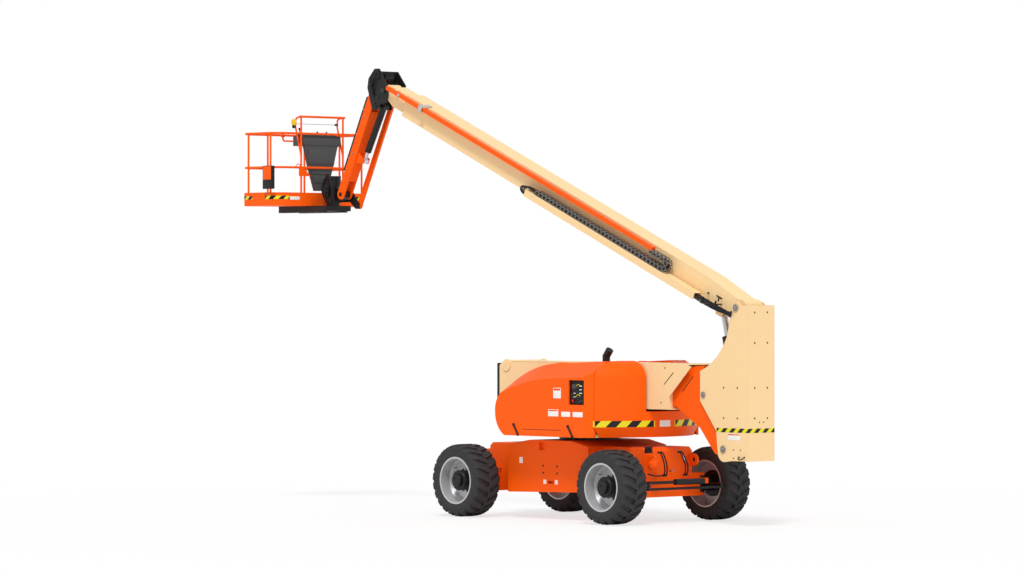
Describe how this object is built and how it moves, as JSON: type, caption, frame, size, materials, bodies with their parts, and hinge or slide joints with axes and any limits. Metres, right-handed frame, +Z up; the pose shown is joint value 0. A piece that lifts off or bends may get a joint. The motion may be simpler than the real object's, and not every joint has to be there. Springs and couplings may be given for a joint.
{
  "type": "articulating boom lift",
  "caption": "Self-propelled work platform on an up-and-over tower boom, telescoping main boom and jib, on a four-wheeled chassis with a swinging turntable.",
  "frame": {"origin": "on the ground, on the swing axis, midway between the axles", "axes": "+X towards the driven axle and the platform, +Y to the machine's left, +Z up"},
  "size_m": [10.325, 2.44, 6.54],
  "materials": {
    "orange_paint": "glossy enamel",
    "cream_paint": "glossy enamel",
    "black_paint": "satin enamel",
    "silver_paint": "satin enamel",
    "tyre_rubber": "matt",
    "black_rubber": "matt",
    "grey_plastic": "matt moulded",
    "black_plastic": "matt moulded",
    "chromed_rod": "polished",
    "bare_iron": "rough"
  },
  "bodies": {
    "chassis": {"chassis_frame": "orange_paint", "drive_axle": "orange_paint", "steer_axle": "orange_paint", "steer_cylinder": "black_paint", "swing_bearing": "black_paint"},
    "knuckle_left": {"knuckle_left": "black_paint"},
    "knuckle_right": {"knuckle_right": "black_paint"},
    "tie_rod": {"tie_rod": "black_paint"},
    "steer_rod": {"steer_rod": "chromed_rod"},
    "wheel_steer_left": {"tyre_steer_left": "tyre_rubber", "rim_steer_left": "silver_paint", "hub_steer_left": "black_paint"},
    "wheel_steer_right": {"tyre_steer_right": "tyre_rubber", "rim_steer_right": "silver_paint", "hub_steer_right": "black_paint"},
    "wheel_drive_left": {"tyre_drive_left": "tyre_rubber", "rim_drive_left": "silver_paint", "hub_drive_left": "black_paint"},
    "wheel_drive_right": {"tyre_drive_right": "tyre_rubber", "rim_drive_right": "silver_paint", "hub_drive_right": "black_paint"},
    "turntable": {"turntable_frame": "cream_paint", "bumper": "black_rubber", "counterweight": "orange_paint", "ground_control": "black_plastic", "engine_block": "bare_iron", "hydraulic_tank": "orange_paint"},
    "hood_left": {"hood_left": "orange_paint"},
    "hood_right": {"hood_right": "orange_paint", "exhaust": "black_paint"},
    "tower_boom": {"tower_boom": "cream_paint"},
    "tower_lift_barrel": {"tower_lift_barrel": "black_paint"},
    "tower_lift_rod": {"tower_lift_rod": "chromed_rod"},
    "tower_fly": {"tower_fly": "orange_paint"},
    "upright": {"upright": "cream_paint"},
    "main_boom": {"main_boom": "cream_paint", "hose_trough": "cream_paint", "drag_chain": "grey_plastic"},
    "main_lift_barrel": {"main_lift_barrel": "black_paint"},
    "main_lift_rod": {"main_lift_rod": "chromed_rod"},
    "main_fly": {"main_fly": "cream_paint", "push_tube": "orange_paint"},
    "jib_head": {"jib_head": "black_paint"},
    "jib_arm": {"jib_arm": "orange_paint"},
    "jib_link": {"jib_link": "orange_paint"},
    "jib_cylinder_barrel": {"jib_cylinder_barrel": "black_paint"},
    "jib_cylinder_rod": {"jib_cylinder_rod": "chromed_rod"},
    "rotator": {"rotator": "black_paint"},
    "platform": {"platform_support": "black_paint", "platform_floor": "orange_paint", "platform_rails": "orange_paint", "platform_console": "grey_plastic"},
    "drop_bar": {"drop_bar": "orange_paint"}
  },
  "joints": [
    {"name": "steer_left", "type": "hinge", "parent": "chassis", "child": "knuckle_left", "pos_m": [-1.525, 0.7, 0.52], "axis": [0, 0, 1], "range_deg": [-30, 30]},
    {"name": "steer_right", "type": "hinge", "parent": "chassis", "child": "knuckle_right", "pos_m": [-1.525, -0.7, 0.52], "axis": [0, 0, 1], "range_deg": [-30.05, 30.05]},
    {"name": "tie_rod_pivot", "type": "hinge", "parent": "knuckle_left", "child": "tie_rod", "pos_m": [-1.95, 0.7, 0.49], "axis": [0, 0, 1], "range_deg": [-30.05, 30.05]},
    {"name": "steer_rod_slide", "type": "slide", "parent": "chassis", "child": "steer_rod", "axis": [0, 1, 0], "range_m": [-0.213, 0.213]},
    {"name": "wheel_steer_left_spin", "type": "hinge", "parent": "knuckle_left", "child": "wheel_steer_left", "pos_m": [-1.525, 0.995, 0.52], "axis": [0, 1, 0], "continuous": true},
    {"name": "wheel_steer_right_spin", "type": "hinge", "parent": "knuckle_right", "child": "wheel_steer_right", "pos_m": [-1.525, -0.995, 0.52], "axis": [0, 1, 0], "continuous": true},
    {"name": "wheel_drive_left_spin", "type": "hinge", "parent": "chassis", "child": "wheel_drive_left", "pos_m": [1.525, 0.995, 0.52], "axis": [0, 1, 0], "continuous": true},
    {"name": "wheel_drive_right_spin", "type": "hinge", "parent": "chassis", "child": "wheel_drive_right", "pos_m": [1.525, -0.995, 0.52], "axis": [0, 1, 0], "continuous": true},
    {"name": "swing", "type": "hinge", "parent": "chassis", "child": "turntable", "pos_m": [0, 0, 1.19], "axis": [0, 0, 1], "continuous": true},
    {"name": "hood_left_open", "type": "hinge", "parent": "turntable", "child": "hood_left", "pos_m": [0, 0.372, 2.2], "axis": [1, 0, 0], "range_deg": [0, 60]},
    {"name": "hood_right_open", "type": "hinge", "parent": "turntable", "child": "hood_right", "pos_m": [0, -0.372, 2.2], "axis": [-1, 0, 0], "range_deg": [0, 60]},
    {"name": "tower_lift", "type": "hinge", "parent": "turntable", "child": "tower_boom", "pos_m": [1.365, 0, 2.159], "axis": [0, 1, 0], "range_deg": [0, 72]},
    {"name": "tower_lift_barrel_swing", "type": "hinge", "parent": "turntable", "child": "tower_lift_barrel", "pos_m": [0.95, 0, 1.33], "axis": [0, -1, 0], "range_deg": [-67.08, 0.05]},
    {"name": "tower_lift_rod_slide", "type": "slide", "parent": "tower_lift_barrel", "child": "tower_lift_rod", "axis": [-0.9969, 0, 0.0783], "range_m": [-0.0005, 1.12896]},
    {"name": "tower_telescope", "type": "slide", "parent": "tower_boom", "child": "tower_fly", "axis": [-1, 0, 0], "range_m": [0, 2.2]},
    {"name": "upright_level", "type": "hinge", "parent": "tower_fly", "child": "upright", "pos_m": [-2.963, 0, 1.062], "axis": [0, 1, 0], "range_deg": [-72.05, 0.05]},
    {"name": "main_lift", "type": "hinge", "parent": "upright", "child": "main_boom", "pos_m": [-3.206, 0, 3], "axis": [0, -1, 0], "range_deg": [-25, 50]},
    {"name": "main_lift_barrel_swing", "type": "hinge", "parent": "upright", "child": "main_lift_barrel", "pos_m": [-3.1, 0, 1.35], "axis": [0, -1, 0], "range_deg": [-2.36, 4.67]},
    {"name": "main_lift_rod_slide", "type": "slide", "parent": "main_lift_barrel", "child": "main_lift_rod", "axis": [0.2365, 0, 0.9716], "range_m": [-0.19129, 0.38207]},
    {"name": "main_telescope", "type": "slide", "parent": "main_boom", "child": "main_fly", "axis": [0.9205, 0, 0.3907], "range_m": [0, 5.8]},
    {"name": "head_level", "type": "hinge", "parent": "main_fly", "child": "jib_head", "pos_m": [4.34674, 0, 6.20595], "axis": [0, -1, 0], "range_deg": [-50.05, 25.05]},
    {"name": "jib_lift", "type": "hinge", "parent": "jib_head", "child": "jib_arm", "pos_m": [4.62, 0, 6.31], "axis": [0, -1, 0], "range_deg": [-5, 125]},
    {"name": "jib_link_swing", "type": "hinge", "parent": "jib_head", "child": "jib_link", "pos_m": [4.468, 0, 6.13], "axis": [0, -1, 0], "range_deg": [-5.05, 125.05]},
    {"name": "jib_cylinder_swing", "type": "hinge", "parent": "jib_head", "child": "jib_cylinder_barrel", "pos_m": [4.52, 0, 5.98], "axis": [0, -1, 0], "range_deg": [-4.75, 117.65]},
    {"name": "jib_cylinder_rod_slide", "type": "slide", "parent": "jib_cylinder_barrel", "child": "jib_cylinder_rod", "axis": [0.4903, 0, -0.8716], "range_m": [-0.02418, 0.59255]},
    {"name": "platform_level", "type": "hinge", "parent": "jib_arm", "child": "rotator", "pos_m": [5.44001, 0, 4.6796], "axis": [0, -1, 0], "range_deg": [-125.05, 5.05]},
    {"name": "platform_rotate", "type": "hinge", "parent": "rotator", "child": "platform", "pos_m": [5.72, 0, 4.55], "axis": [0, 0, 1], "range_deg": [-90, 90]},
    {"name": "drop_bar_lift", "type": "hinge", "parent": "platform", "child": "drop_bar", "pos_m": [6.849, 0, 5.605], "axis": [0, 1, 0], "range_deg": [0, 100]}
  ],
  "couplings": [
    {"joint": "steer_right", "follows": "steer_left", "ratio": 1},
    {"joint": "tie_rod_pivot", "follows": "steer_left", "ratio": -1},
    {"joint": "steer_rod_slide", "follows": "steer_left", "m_per_rad": -0.40585},
    {"joint": "tower_lift_barrel_swing", "follows": "tower_lift", "ratio": -0.931},
    {"joint": "tower_lift_rod_slide", "follows": "tower_lift", "m_per_rad": 0.898},
    {"joint": "upright_level", "follows": "tower_lift", "ratio": -1},
    {"joint": "main_lift_barrel_swing", "follows": "main_lift", "ratio": 0.092303},
    {"joint": "main_lift_rod_slide", "follows": "main_lift", "m_per_rad": 0.43725},
    {"joint": "head_level", "follows": "main_lift", "ratio": -1},
    {"joint": "jib_link_swing", "follows": "jib_lift", "ratio": 1},
    {"joint": "jib_cylinder_swing", "follows": "jib_lift", "ratio": 0.94079},
    {"joint": "jib_cylinder_rod_slide", "follows": "jib_lift", "m_per_rad": 0.27138},
    {"joint": "platform_level", "follows": "jib_lift", "ratio": -1}
  ]
}
